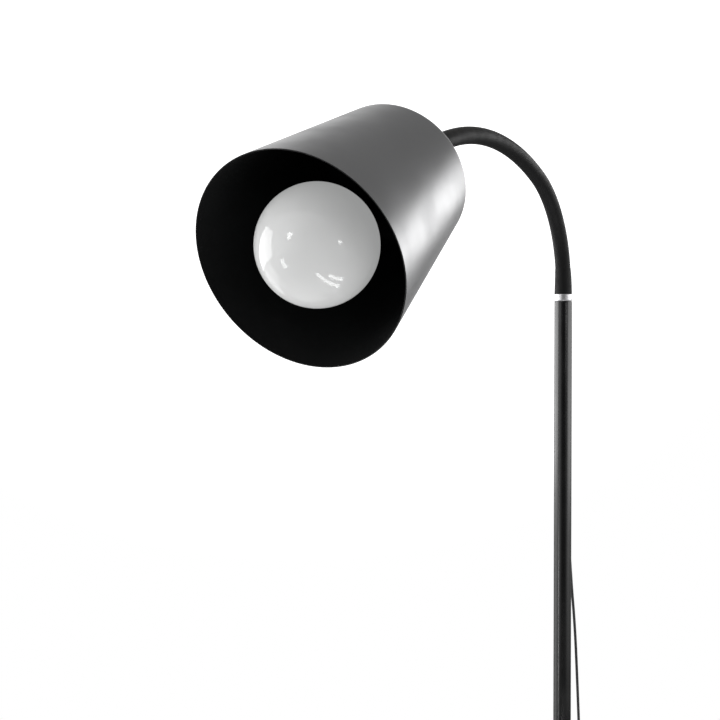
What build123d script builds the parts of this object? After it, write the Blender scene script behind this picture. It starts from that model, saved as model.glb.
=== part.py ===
from build123d import *
from math import acos, asin, cos, degrees, pi, radians, sin, sqrt, tan
import os

# Gooseneck reading floor lamp. Millimetres, +Z up. The origin is the middle of the
# base's underside, on the pole's axis. The neck bends in the plane X = 0 and carries
# the head towards -Y. The mains cord leaves the pole at its back, towards +Y.

# ---- base
base_radius = 135.0
base_height = 20.0
base_edge = 5.0
cover_wall = 1.2
pad_radius = 128.0
pad_thickness = 2.0
plate_thickness = 1.5
weight_radius = 131.0
weight_height = 13.5
foot_radius = 15.0
foot_height = 5.0

# ---- pole
pole_radius = 9.0
pole_wall = 1.2
pole_top = 1300.0
pole_joints = (430.0, 850.0)
coupler_length = 64.0
insert_length = 32.0
ring_height = 7.0
thread_radius = 4.95
rod_radius = 5.0
fit_gap = 0.05

# ---- neck: a foot that stands straight, two arcs (degrees, radius) and a straight end
neck_foot = 10.0
neck_arcs = ((65.0, 115.0), (51.0, 294.0))
neck_tip = 39.0
sleeve_radius = 7.5
sleeve_wall = 1.0
sleeve_flare = 9.0
link_radius = 5.1
dome_radius = 4.75
dome_gap = 0.3
skirt_rise = 2.4
shoulder_drop = 1.5
neck_bore = 3.25
links_per_arc = (4, 5)
sway_links = (1, 4, 7)

# ---- head, measured along its own axis from the outside of the shade's back
shade_corner = 62.4
shade_rim = 88.0
shade_length = 173.0
shade_wall = 1.0
shade_bend = 12.5
bulb_centre = 143.0
bulb_radius = 47.5
bulb_length = 138.0
cap_length = 26.5
cap_radius = 13.1
holder_start = 22.0
holder_split = 40.0
holder_end = 76.0
holder_radius = 20.0
skirt_end = 92.5
skirt_radius = 22.6

# ---- mains cord
cord_radius = 1.4
bushing_height = 1086.0
bushing_corner = (0.0, 12.3, bushing_height)
bushing_neck = 3.0
bushing_end = 2.2
bushing_taper = 19.0
elbow_radius = 5.2
floor_line = 1.5
cord_exit = (0.0, 16.6, 1056.0)
switch_centre = (48.0, 280.0)
switch_size = (64.0, 27.0, 17.0)
switch_entry = 4.0
button_radius = 8.0
button_rise = 3.5
coil_centre = (60.0, 228.0)
coil_outer = 23.2
coil_pitch = 3.3
coil_turns_in = 4.0
coil_turns_out = 3.5
coil_height = 2.4
coil_layer = 3.4
coil_dip = 0.6
plug_size = (34.0, 36.0, 13.6)
pin_radius = 2.0
pin_length = 19.0
pin_spacing = 18.6

tube_inner = pole_radius - pole_wall
sleeve_inner = sleeve_radius - sleeve_wall
neck_start = pole_top + ring_height
pole_start = base_height + 0.3


# ---------------------------------------------------------------- shared helpers
def turned(points, place=None):
    """A solid turned about Z from a closed outline of (radius, height) points.

    A three-item entry (radius, height, bulge point) ends an arc through that point.
    """
    with BuildPart() as piece:
        with BuildSketch(Plane.XZ):
            with BuildLine():
                start = points[0][:2]
                for entry in list(points[1:]) + [points[0]]:
                    if len(entry) == 3:
                        ThreePointArc(start, entry[2], entry[:2])
                    elif entry[:2] != start:
                        Line(start, entry[:2])
                    start = entry[:2]
            make_face()
        revolve(axis=Axis.Z)
    return place * piece.part if place else piece.part


def on_arc(centre, radius, angle):
    """The point of a circle in an outline, with the angle in degrees."""
    return (centre[0] + radius * cos(radians(angle)), centre[1] + radius * sin(radians(angle)))


def ring(outer, inner, low, high, place=None):
    """A plain tube, or a disc where the inner radius is 0."""
    return turned([(inner, low), (outer, low), (outer, high), (inner, high)], place)


def hexagon(across, bore, low, high, place=None):
    """A hexagonal nut with chamfered corners."""
    nut = extrude(Location((0, 0, low)) * RegularPolygon(across / 2, 6, major_radius=False), high - low)
    corner = across / sqrt(3)
    nut &= turned([(0, low), (corner - 0.8, low), (corner, low + 0.5), (corner, high - 0.5),
                   (corner - 0.8, high), (0, high)])
    nut -= Location((0, 0, low - 1)) * Cylinder(bore, high - low + 2, align=(Align.CENTER, Align.CENTER, Align.MIN))
    return place * nut if place else nut


def box_between(low, high):
    size = [b - a for a, b in zip(low, high)]
    return Location(low) * Box(*size, align=(Align.MIN, Align.MIN, Align.MIN))


def save(name, piece):
    piece.label = name
    export_step(piece, f"parts/{name}.step")


# ---------------------------------------------------------------- neck line
def neck_state(length):
    """The point of the neck's centre line at a length from its foot, and its lean from upright."""
    reach, height, lean = 0.0, neck_start, 0.0
    step = min(length, neck_foot)
    height += step
    length -= step
    for sweep_angle, radius in neck_arcs:
        part = min(length, radians(sweep_angle) * radius)
        turn = part / radius
        reach += radius * (cos(lean) - cos(lean + turn))
        height += radius * (sin(lean + turn) - sin(lean))
        lean += turn
        length -= part
    reach += length * sin(lean)
    height += length * cos(lean)
    return Vector(0, -reach, height), degrees(lean)


def neck_lengths():
    """The length from the foot at which each arc of the neck starts, and where the last one ends."""
    marks = [neck_foot]
    for sweep_angle, radius in neck_arcs:
        marks.append(marks[-1] + radians(sweep_angle) * radius)
    return marks


neck_marks = neck_lengths()
neck_length = neck_marks[-1] + neck_tip
back_centre, head_lean = neck_state(neck_length)
head_axis = Vector(0, -sin(radians(head_lean)), cos(radians(head_lean)))
head_place = Plane(origin=back_centre, x_dir=(1, 0, 0), z_dir=head_axis).location


def neck_path(start, end):
    """The neck's centre line between two lengths, as straight runs and tangent arcs."""
    marks = [0.0] + neck_marks + [neck_length]
    cuts = [start] + [m for m in marks if start + 1e-6 < m < end - 1e-6] + [end]
    edges = []
    for a, b in zip(cuts, cuts[1:]):
        first, middle, last = (neck_state(s)[0] for s in (a, (a + b) / 2, b))
        straight = (last - first).length > (b - a) - 1e-6
        edges.append(Line(first, last) if straight else ThreePointArc(first, middle, last))
    return Wire(edges)


def neck_stations():
    """The length from the foot of each bend point, and the way each one turns."""
    stations = []
    for count, start, end in zip(links_per_arc, neck_marks, neck_marks[1:]):
        stations += [start + (end - start) * k / count for k in range(count)]
    stations.append(neck_marks[-1])
    joints = []
    for number, station in enumerate(stations):
        joints.append((neck_state(station)[0], "bend"))
        if number in sway_links:
            ahead = neck_state(stations[number + 1])[0]
            joints.append(((neck_state(station)[0] + ahead) / 2, "sway"))
    return joints


neck_joints = neck_stations()


def along(low, high):
    """The place of a piece whose Z runs from one point towards another."""
    return Plane(origin=low, x_dir=(1, 0, 0), z_dir=(high - low).normalized()).location


# ---------------------------------------------------------------- neck pieces
def socket_outline(wall):
    """The hollow lower end of a link, round a dome centred at height 0, out to its wall."""
    hollow = dome_radius + dome_gap
    skirt = degrees(asin(skirt_rise / hollow))
    bore = degrees(acos(neck_bore / hollow))
    middle = on_arc((0, 0), hollow, (bore + skirt) / 2)
    return [on_arc((0, 0), hollow, bore), on_arc((0, 0), hollow, skirt) + (middle,), (wall, skirt_rise)]


def dome_outline(height, shoulder):
    """The upper end of a link: a shoulder, and a dome centred at a height, down to the bore."""
    end = degrees(acos(neck_bore / dome_radius))
    middle = on_arc((0, height), dome_radius, end / 2)
    return [(shoulder, height - shoulder_drop), (dome_radius, height - shoulder_drop), (dome_radius, height),
            on_arc((0, height), dome_radius, end) + (middle,)]


def neck_link(low, high):
    """One stretch of the wound steel hose: hollow below, domed above, bored for the lead."""
    outline = socket_outline(link_radius) + dome_outline((high - low).length, link_radius)
    return turned(outline, along(low, high))


def lower_ferrule():
    """The hose's lower end fitting: a threaded stub, a cone under the sleeve, and a dome."""
    bottom = pole_top - insert_length + 4
    top = neck_joints[0][0].Z
    under_sleeve = sleeve_flare - sleeve_wall
    outline = [(neck_bore, bottom), (thread_radius, bottom), (thread_radius, neck_start),
               (under_sleeve, neck_start), (under_sleeve - 0.35, neck_start + 4.0)]
    outline += dome_outline(top, link_radius)
    return turned(outline)


def upper_ferrule():
    """The hose's upper end fitting, its flange against the shade, its stub through the back."""
    low = neck_joints[-1][0]
    length = (back_centre - low).length
    flange = length - 1.0
    outline = socket_outline(link_radius)
    outline += [(link_radius, length - 24), (sleeve_inner - 0.3, length - 23),
                (sleeve_inner - 0.3, flange - 4), (8.5, flange - 4), (8.5, flange), (thread_radius, flange),
                (thread_radius, length + 16), (neck_bore, length + 16)]
    return turned(outline, along(low, back_centre))


def neck_sleeve():
    """The soft black sleeve over the whole neck, flared over the lower fitting."""
    start, end = neck_foot, neck_length - 5.6
    path = neck_path(start, end)
    face = Plane(origin=path @ 0, z_dir=path % 0) * (Circle(sleeve_radius) - Circle(sleeve_inner))
    tube = sweep(face, path=path)
    foot_inner = sleeve_flare - sleeve_wall
    top = neck_start + neck_foot
    foot = turned([(foot_inner, neck_start), (sleeve_flare, neck_start), (sleeve_radius, top),
                   (sleeve_inner, top), (foot_inner - 0.35, neck_start + 4.0)])
    return foot + tube


def neck_lead():
    """The lead inside the neck, from the pole's top to the lampholder."""
    path = neck_path(-insert_length + 2, neck_length)
    return sweep(Plane(origin=path @ 0, z_dir=path % 0) * Circle(cord_radius), path=path)


# ---------------------------------------------------------------- base and pole
def base_cover():
    """The pressed steel cover: a flat top, a round edge, open below."""
    r, h, e, t = base_radius, base_height, base_edge, cover_wall
    low = pad_thickness
    diag = cos(radians(45))
    return turned([
        (r - t, low), (r, low), (r, h - e),
        (r - e, h, (r - e + e * diag, h - e + e * diag)),
        (rod_radius + 0.3, h), (rod_radius + 0.3, h - t), (r - e, h - t),
        (r - t, h - e, (r - e + (e - t) * diag, h - e + (e - t) * diag)),
    ])


def base_weight():
    """The cast-iron disc under the cover, with a pocket for the nut."""
    low = pad_thickness + plate_thickness + 0.2
    high = low + weight_height
    pocket = 14.0
    return turned([
        (rod_radius + 0.4, low + 8), (pocket, low + 8), (pocket, low), (weight_radius - 2, low),
        (weight_radius, low + 2), (weight_radius, high - 4), (weight_radius - 4, high), (rod_radius + 0.4, high),
    ])


def base_plate():
    """The thin plate that closes the base from below."""
    low = pad_thickness
    return ring(base_radius - cover_wall - 0.3, 0, low, low + plate_thickness)


def base_pad():
    """The soft pad under the base."""
    return ring(pad_radius, 0, 0, pad_thickness)


def base_fasteners():
    """The washer and the nut on the rod, a solid each."""
    washer = ring(12.0, rod_radius + fit_gap, 10.4, 11.6)
    return Compound([washer, hexagon(16.0, rod_radius + fit_gap, 5.2, 10.3)])


def tie_rod():
    """The threaded rod that draws the pole down on the base."""
    low = pad_thickness + plate_thickness + 1.2
    return ring(rod_radius, 0, low, base_height + 40)


def pole_foot():
    """The collar that the pole stands in, on the cover."""
    low = base_height
    return turned([
        (pole_radius + fit_gap, low), (foot_radius, low), (foot_radius, low + 2),
        (pole_radius + 2, low + foot_height), (pole_radius + fit_gap, low + foot_height),
    ])


def pole_plug():
    """The threaded plug in the pole's lower end, for the rod."""
    low = base_height + 0.4
    return ring(tube_inner - fit_gap, rod_radius + fit_gap, low, low + 36)


def pole_tube(low, high):
    return ring(pole_radius, tube_inner, low, high)


def upper_pole_tube(low, high):
    """The top section, with the cord's hole in its back."""
    hole = Location((0, pole_radius, bushing_height), (90, 0, 0)) * Cylinder(bushing_neck + 0.3, 8)
    return pole_tube(low, high) - hole


def pole_couplers():
    """The threaded joiners inside the pole's two joints, a solid each."""
    half = coupler_length / 2
    outer = tube_inner - fit_gap
    outline = [(5.0, -half), (outer - 0.8, -half), (outer, 0.8 - half), (outer, half - 0.8), (outer - 0.8, half),
               (5.0, half)]
    return Compound([turned(outline, Location((0, 0, height))) for height in pole_joints])


def top_insert():
    """The threaded insert in the pole's top, for the neck's fitting."""
    return ring(tube_inner - fit_gap, thread_radius + fit_gap, pole_top - insert_length, pole_top)


def collar_ring():
    """The polished ring between the pole and the neck."""
    r, low, high = pole_radius, pole_top, pole_top + ring_height
    return turned([
        (thread_radius + fit_gap, low), (r - 0.5, low), (r, low + 0.5), (r, high - 0.5), (r - 0.5, high),
        (thread_radius + fit_gap, high),
    ])


# ---------------------------------------------------------------- cord bushing
def bushing_way():
    """The direction in which the cord leaves the bushing."""
    return (Vector(*cord_exit) - Vector(*bushing_corner)).normalized()


def cord_bushing():
    """The moulded elbow that turns the cord down along the pole, with a tapered end."""
    start = Vector(0, 6.6, bushing_height)
    exit_point = Vector(*cord_exit)
    down = bushing_way()
    cone_start = exit_point - down * bushing_taper
    elbow_path = FilletPolyline(start, bushing_corner, cone_start, radius=elbow_radius)
    elbow = sweep(Plane(origin=start, z_dir=(0, 1, 0)) * Circle(bushing_neck), path=elbow_path)
    cone = turned([(0, 0), (bushing_neck, 0), (bushing_end, bushing_taper), (0, bushing_taper)],
                  Plane(origin=cone_start, x_dir=(1, 0, 0), z_dir=down).location)
    flange = Location((0, pole_radius, bushing_height), (90, 0, 0)) * Cylinder(4.4, 3.2)
    flange -= Location((0, 0, bushing_height - 10)) * Cylinder(
        pole_radius + fit_gap, 20, align=(Align.CENTER, Align.CENTER, Align.MIN))
    body = elbow + cone + flange
    bore_path = FilletPolyline(start - Vector(0, 1, 0), bushing_corner, exit_point + down, radius=elbow_radius)
    bore = sweep(Plane(origin=bore_path @ 0, z_dir=(0, 1, 0)) * Circle(cord_radius + fit_gap), path=bore_path)
    return body - bore


def pole_lead():
    """The cord inside the pole, from the bushing's mouth up to the neck."""
    top = Vector(0, 0, pole_top - insert_length + 2)
    path = FilletPolyline(cord_exit, bushing_corner, (0, 0, bushing_height), top, radius=elbow_radius)
    return sweep(Plane(origin=cord_exit, z_dir=bushing_way() * -1) * Circle(cord_radius), path=path)


# ---------------------------------------------------------------- head
def shade_wall_radius(height, inset=0.0):
    """The outside radius of the shade's cone at a height from its back."""
    slope = (shade_rim - shade_corner) / shade_length
    return shade_corner + slope * height - inset * sqrt(1 + slope * slope)


def shade_bend_points(inset):
    """The start, middle and end of the round bend between the back and the cone."""
    slope = (shade_rim - shade_corner) / shade_length
    wall_angle = 90 - degrees(asin(slope / sqrt(1 + slope * slope)))
    reach = shade_bend * tan(radians(wall_angle / 2))
    centre = (shade_corner - reach, shade_bend)
    radius = shade_bend - inset
    first = on_arc(centre, radius, -90)
    last = on_arc(centre, radius, -90 + wall_angle)
    middle = on_arc(centre, radius, -90 + wall_angle / 2)
    return first, middle, last


def shade_shell():
    """The spun shade: a flat back with the fixing hole, a round bend and a long cone."""
    first, middle, last = shade_bend_points(0)
    inner_first, inner_middle, inner_last = shade_bend_points(shade_wall)
    hole = thread_radius + 0.25
    return turned([
        (hole, 0), first, (last[0], last[1], middle), (shade_rim, shade_length),
        (shade_wall_radius(shade_length, shade_wall), shade_length), inner_last,
        (inner_first[0], inner_first[1], inner_middle), (hole, shade_wall),
    ], head_place)


def shade_washers():
    """The washers outside and inside the shade's back, a solid each."""
    bore = thread_radius + fit_gap
    outside = ring(11.0, bore, -1.0, 0, head_place)
    return Compound([outside, ring(10.0, bore, shade_wall, shade_wall + 1.2, head_place)])


def lock_nut():
    low = shade_wall + 1.2
    return hexagon(14.0, thread_radius + fit_gap, low, low + 4.0, head_place)


def spacer_tube():
    """The tube that stands the lampholder off the shade's back."""
    low = shade_wall + 5.4
    return ring(7.5, thread_radius + fit_gap, low, holder_start - 0.1, head_place)


def holder_cap():
    """The lampholder's rear cap."""
    r, t = holder_radius, 2.0
    low, high = holder_start, holder_split
    return turned([
        (neck_bore + 1.5, low), (r - 6, low), (r, low + 6), (r, high), (r - t, high), (r - t, low + 7),
        (r - 7, low + t), (neck_bore + 1.5, low + t),
    ], head_place)


def holder_shell():
    """The lampholder's front shell, round the screw shell, with the skirt that hides the bulb's neck."""
    r, t = holder_radius - 0.4, 2.4
    low, high = holder_split + 0.1, holder_end
    return turned([
        (r - t, low), (r, low), (r, high - 2), (skirt_radius, skirt_end), (skirt_radius - 1.3, skirt_end),
        (r - 1.3, high - 1.5), (r - t, high - 2),
    ], head_place)


def holder_core():
    """The white insert that carries the contacts."""
    low = holder_split + 2
    core = ring(16.8, 0, low, low + 8, head_place)
    for side in (-1, 1):
        core -= head_place * Location((side * 10.0, 0, low - 1)) * Cylinder(
            1.6, 12, align=(Align.CENTER, Align.CENTER, Align.MIN))
    return core


def terminal_screws():
    """Two brass terminal screws behind the insert, a solid each."""
    low = holder_split - 0.5
    screws = []
    for side in (-1, 1):
        place = head_place * Location((side * 10.0, 0, 0))
        screws.append(turned([(0, low), (2.8, low), (2.8, low + 2.3), (1.5, low + 2.3), (1.5, low + 9), (0, low + 9)],
                             place))
    return Compound(screws)


def screw_shell():
    """The brass shell that takes the bulb's thread."""
    low = holder_split + 10.2
    outer = cap_radius + 1.5
    return turned([
        (5.0, low), (outer, low), (outer, holder_end - 4), (outer + 0.9, holder_end - 2.5),
        (outer + 0.4, holder_end - 2.0), (cap_radius + 0.5, holder_end - 3.5), (cap_radius + 0.5, low + 0.8),
        (5.0, low + 0.8),
    ], head_place)


def centre_contact():
    """The sprung brass tongue under the bulb's tip."""
    low = holder_split + 10.1
    tip = bulb_centre + bulb_radius - bulb_length
    return turned([(0, low), (3.0, low), (4.2, low + 0.4), (2.2, tip - 0.1), (0, tip - 0.1)], head_place)


def bulb_heights():
    """Where the bulb's tip, insulator, cap and collar start, along the head's axis."""
    tip = bulb_centre + bulb_radius - bulb_length
    return tip, tip + 0.8, tip + 3.0, tip + cap_length


def bulb_contact():
    tip, insulator, _, _ = bulb_heights()
    return turned([(0, tip), (3.2, tip), (4.6, insulator), (0, insulator)], head_place)


def bulb_insulator():
    _, low, high, _ = bulb_heights()
    return turned([(0, low), (5.2, low), (9.4, high), (0, high)], head_place)


def bulb_cap():
    """The bulb's screw cap, with rounded thread crests."""
    _, _, low, high = bulb_heights()
    crests = 6
    pitch = 3.0
    root = cap_radius - 0.9
    outline = [(0, low), (9.6, low), (root, low + 1.6)]
    for k in range(crests):
        base = low + 1.8 + k * pitch
        outline += [(root, base), (root, base + pitch - 0.2, (cap_radius, base + pitch / 2))]
    outline += [(root, high - 1.2), (cap_radius + 0.2, high - 1.0), (cap_radius + 0.2, high), (0, high)]
    return turned(outline, head_place)


def globe_join():
    """Where the globe's sphere turns into its neck: the angle back from its widest."""
    neck_radius = 19.0
    curve = 24.0
    angle = degrees(acos((neck_radius + curve) / (bulb_radius + curve)))
    low = bulb_centre - (bulb_radius + curve) * sin(radians(angle))
    return neck_radius, curve, angle, low


def bulb_collar():
    """The white plastic collar between the cap and the globe."""
    _, _, _, low = bulb_heights()
    neck_radius, _, _, high = globe_join()
    return turned([(0, low), (14.6, low), (16.2, low + 3), (neck_radius - 0.2, high - 4), (neck_radius, high - 1),
                   (neck_radius, high), (0, high)], head_place)


def bulb_globe():
    """The opal globe: a thin shell, open at its neck."""
    neck_radius, curve, angle, low = globe_join()
    wall = 1.0
    outline = []
    for radius, bend, first in ((bulb_radius, curve, True), (bulb_radius - wall, curve + wall, False)):
        centre = (0, bulb_centre)
        side = (radius + bend) * cos(radians(angle))
        bend_centre = (side, low)
        join = on_arc(centre, radius, -angle)
        bend_middle = on_arc(bend_centre, bend, 180 - angle / 2)
        waist = (side - bend, low)
        front = (0, bulb_centre + radius)
        middle = on_arc(centre, radius, (90 - angle) / 2)
        if first:
            outline += [waist, (join[0], join[1], bend_middle), (front[0], front[1], middle)]
        else:
            outline += [front, (join[0], join[1], middle), (waist[0], waist[1], bend_middle)]
    return turned(outline, head_place)


# ---------------------------------------------------------------- cord
def drop_route():
    """Down behind the pole, out past the base and along the floor to the switch."""
    first = tuple(Vector(*cord_exit) + bushing_way() * 44)
    x, y, _ = switch_end(-1)
    return [
        cord_exit, first, (0, 35, 957), (0, 42, 897), (0, 48, 840), (-1, 53, 783), (-3, 57, 726),
        (-6, 60.5, 669), (-9.5, 64.5, 612), (-14, 69, 555), (-19, 74, 498), (-24.5, 80, 441), (-30, 87, 385),
        (-35, 95, 329), (-40, 104.5, 273), (-44.5, 115.5, 218), (-49, 129, 164), (-53, 145, 112),
        (-57, 165, 64), (-60, 192, 26), (-60, 226, 5), (-51, 257, floor_line), (-31, 276, floor_line),
        (x - 22, y, switch_entry), (x, y, switch_entry),
    ]


def tail_route():
    """From the switch round to the coil, which it meets along its outer turn."""
    x, y, z = coil_point(0.0)
    start = switch_end(1)
    return [start, (start[0] + 19, start[1], switch_entry), (119, 271, floor_line), (125, 250, floor_line),
            (118, 229, 1.8), (103, 212, 2.1), (82, y, z), (x + 2 * cord_radius, y, z)]


def end_route():
    """From the coil's upper layer to the plug."""
    x, y, z = coil_point(coil_steps() / 4)
    start = Vector(*plug_start)
    return [(x - 2 * cord_radius, y, z), (40.0, y, z), tuple(start - plug_way() * 15), plug_start]


def route_radii(points):
    """The arc of each corner: 0.45 of its shorter run over the tangent of half the turn."""
    vectors = [Vector(*p) for p in points]
    radii = []
    for a, b, c in zip(vectors, vectors[1:], vectors[2:]):
        turn = radians((b - a).get_angle(c - b))
        radii.append(0.45 * min((b - a).length, (c - b).length) / tan(turn / 2))
    return radii


def cord_tube(name, points):
    """A cord along a route: straight runs joined by tangent arcs."""
    radii = route_radii(points)
    path = FilletPolyline(*points, radius=radii)
    start = Vector(*points[0])
    way = (Vector(*points[1]) - start).normalized()
    tube = sweep(Plane(origin=start, z_dir=way) * Circle(cord_radius), path=path)
    wanted = pi * cord_radius ** 2 * path.length
    print(name, "length", round(path.length, 1), "least radius", round(min(radii), 1),
          "of", [round(r) for r in radii], "volume over section x length", round(tube.volume / wanted, 4))
    return tube


def coil_steps():
    """Quarter turns in the coil, with the half turn that climbs."""
    return int(round(4 * (coil_turns_in + 0.5 + coil_turns_out)))


def coil_point(turns):
    """The coil's centre line after a number of turns: in, up a layer, and out again."""
    inner = coil_outer - coil_pitch * coil_turns_in
    if turns <= coil_turns_in:
        radius = coil_outer - coil_pitch * turns
        rise = 0.0
    elif turns <= coil_turns_in + 0.5:
        share = (turns - coil_turns_in) / 0.5
        radius = inner - coil_dip * sin(pi * share) ** 2
        rise = share * share * (3 - 2 * share)
    else:
        radius = inner + coil_pitch * (turns - coil_turns_in - 0.5)
        rise = 1.0
    angle = radians(-90 - 360 * turns)
    return (coil_centre[0] + radius * cos(angle), coil_centre[1] + radius * sin(angle),
            coil_height + coil_layer * rise)


def coil_way(turns):
    """The direction of the coil's centre line."""
    step = 1e-4
    low, high = max(turns - step, 0), min(turns + step, coil_steps() / 4)
    return (Vector(*coil_point(high)) - Vector(*coil_point(low))).normalized()


def biarc(start, start_way, end, end_way):
    """Two arcs that leave one point and reach another in the ways given."""
    span = end - start
    both = start_way + end_way
    a = 2 * (1 - start_way.dot(end_way))
    b = 2 * span.dot(both)
    reach = (-b + sqrt(b * b + 4 * a * span.dot(span))) / (2 * a)
    first, last = start + start_way * reach, end - end_way * reach
    middle = (first + last) / 2
    return [TangentArc(start, middle, tangent=start_way),
            TangentArc(middle, end, tangent=(last - first).normalized())]


def coil_path():
    """The coil's centre line, a pair of arcs to each quarter turn, with straight ends."""
    straight = 2 * cord_radius
    places = [Vector(*coil_point(k / 4)) for k in range(coil_steps() + 1)]
    ways = [coil_way(k / 4) for k in range(coil_steps() + 1)]
    ways[0] = ways[-1] = Vector(-1, 0, 0)
    edges = [Line(places[0] - ways[0] * straight, places[0])]
    for k in range(coil_steps()):
        edges += biarc(places[k], ways[k], places[k + 1], ways[k + 1])
    edges.append(Line(places[-1], places[-1] + ways[-1] * straight))
    return Wire(edges)


def least_gap(path):
    """The least clear distance between two stretches of the coil, from points along it."""
    spacing = 1.0
    count = int(path.length / spacing)
    points = [path @ (k / count) for k in range(count + 1)]
    apart = int(4 * cord_radius / spacing) + 2
    least = min((points[i] - points[j]).length
                for i in range(len(points)) for j in range(i + apart, len(points)))
    return least - 2 * cord_radius


def cord_coil():
    """The put-away length: one tube wound in and out again in two layers."""
    path = coil_path()
    tube = sweep(Plane(origin=path @ 0, z_dir=path % 0) * Circle(cord_radius), path=path)
    wanted = pi * cord_radius ** 2 * path.length
    print("cord_coil length", round(path.length, 1), "least gap to itself", round(least_gap(path), 2),
          "volume over section x length", round(tube.volume / wanted, 4))
    return tube


def coil_tie():
    """A strap round the bundle of turns, on the side away from the pole's plane."""
    inner = coil_outer - coil_pitch * coil_turns_in
    clear = cord_radius + 0.35
    strap = 0.6
    width = 8.0
    low_x = coil_centre[0] + inner - 1.0 - clear
    high_x = coil_centre[0] + coil_outer + clear
    low_z = coil_height - clear
    high_z = coil_height + coil_layer + clear
    middle = ((low_x + high_x) / 2, coil_centre[1] - width / 2, (low_z + high_z) / 2)
    plane = Plane(origin=middle, x_dir=(1, 0, 0), z_dir=(0, 1, 0))
    wide, tall = high_x - low_x, high_z - low_z
    outside = RectangleRounded(wide + 2 * strap, tall + 2 * strap, 2.2)
    inside = RectangleRounded(wide, tall, 1.6)
    return extrude(plane * (outside - inside), width)


# ---------------------------------------------------------------- foot switch
def switch_outline(inset, low, high):
    """A block with round ends, as wide as the switch less an inset."""
    length, width = switch_size[0] - 2 * inset, switch_size[1] - 2 * inset
    sketch = Location((switch_centre[0], switch_centre[1], low)) * RectangleRounded(length, width, 9.0 - inset)
    return extrude(sketch, high - low)


def switch_end(side):
    """Where the cord enters or leaves the switch."""
    return (switch_centre[0] + side * switch_size[0] / 2, switch_centre[1], switch_entry)


def switch_base():
    """The lower half of the foot switch's housing."""
    split = 9.0
    block = switch_outline(0, 0, split)
    block = fillet(block.faces().sort_by(Axis.Z)[0].edges(), 1.2)
    return block - switch_outline(2.0, 2.0, split + 1)


def switch_cover():
    """The upper half, with the button's hole."""
    split, top = 9.2, switch_size[2]
    block = switch_outline(0, split, top)
    block = fillet(block.faces().sort_by(Axis.Z)[-1].edges(), 4.0)
    block -= switch_outline(2.0, split - 1, top - 2.4)
    hole = Location((switch_centre[0], switch_centre[1], split)) * Cylinder(
        button_radius + 0.3, 20, align=(Align.CENTER, Align.CENTER, Align.MIN))
    return block - hole


def switch_mechanism():
    """The contact block inside the switch."""
    x, y = switch_centre
    return box_between((x - 17, y - 9, 2.1), (x + 17, y + 9, 8.0))


def switch_spring():
    """The button's return spring, a plain cup-shaped wave washer stack."""
    return ring(4.0, 2.6, 8.1, 9.7, Location((switch_centre[0], switch_centre[1], 0)))


def foot_button():
    """The round button, with a skirt below the cover and a hollow underside."""
    low, top = 12.9, switch_size[2] + button_rise
    r = button_radius
    return turned([
        (0, low + 1.6), (5.0, low + 1.6), (5.0, low), (r + 1.2, low), (r + 1.2, low + 1.4), (r, low + 1.4),
        (r, top - 1.2), (r - 1.2, top, (r - 0.35, top - 0.35)), (0, top),
    ], Location((switch_centre[0], switch_centre[1], 0)))


def switch_screws():
    """The two screws that hold the halves together, from below."""
    screws = []
    for side in (-1, 1):
        place = Location((switch_centre[0] + side * 23.0, switch_centre[1], 0))
        screws.append(turned([(0, 2.05), (2.6, 2.05), (1.3, 4.0), (1.3, 12.0), (0, 12.0)], place))
    return Compound(screws)


# ---------------------------------------------------------------- plug
plug_start = (10.0, 214.5, 6.9)
plug_turn = 152.0


def plug_way():
    """The direction from the cord's entry towards the pins, level on the floor."""
    return Vector(cos(radians(plug_turn)), sin(radians(plug_turn)), 0)


def plug_frame():
    """Z runs along the plug from the cord's entry, X across its flat."""
    way = plug_way()
    return Plane(origin=plug_start, x_dir=(-way.Y, way.X, 0), z_dir=way)


def plug_body():
    """A flat two-pin plug: a tapered grip that widens to the pin face."""
    wide, length, thick = plug_size
    frame = plug_frame()
    sections = [(0.0, 6.0, 5.4), (10.0, 8.5, 8.0), (20.0, 20.0, 12.0), (length, wide, thick)]
    faces = [frame.offset(at) * RectangleRounded(w, t, min(w, t) * 0.35) for at, w, t in sections]
    return loft(Sketch() + faces, ruled=True)


def plug_pins():
    """Two round pins, a solid each."""
    place = plug_frame().offset(plug_size[1]).location
    pins = []
    for side in (-1, 1):
        pins.append(turned([(0, 0), (pin_radius, 0), (pin_radius, pin_length - 1.0),
                            (pin_radius - 0.8, pin_length), (0, pin_length)],
                           place * Location((side * pin_spacing / 2, 0, 0))))
    return Compound(pins)


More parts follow.
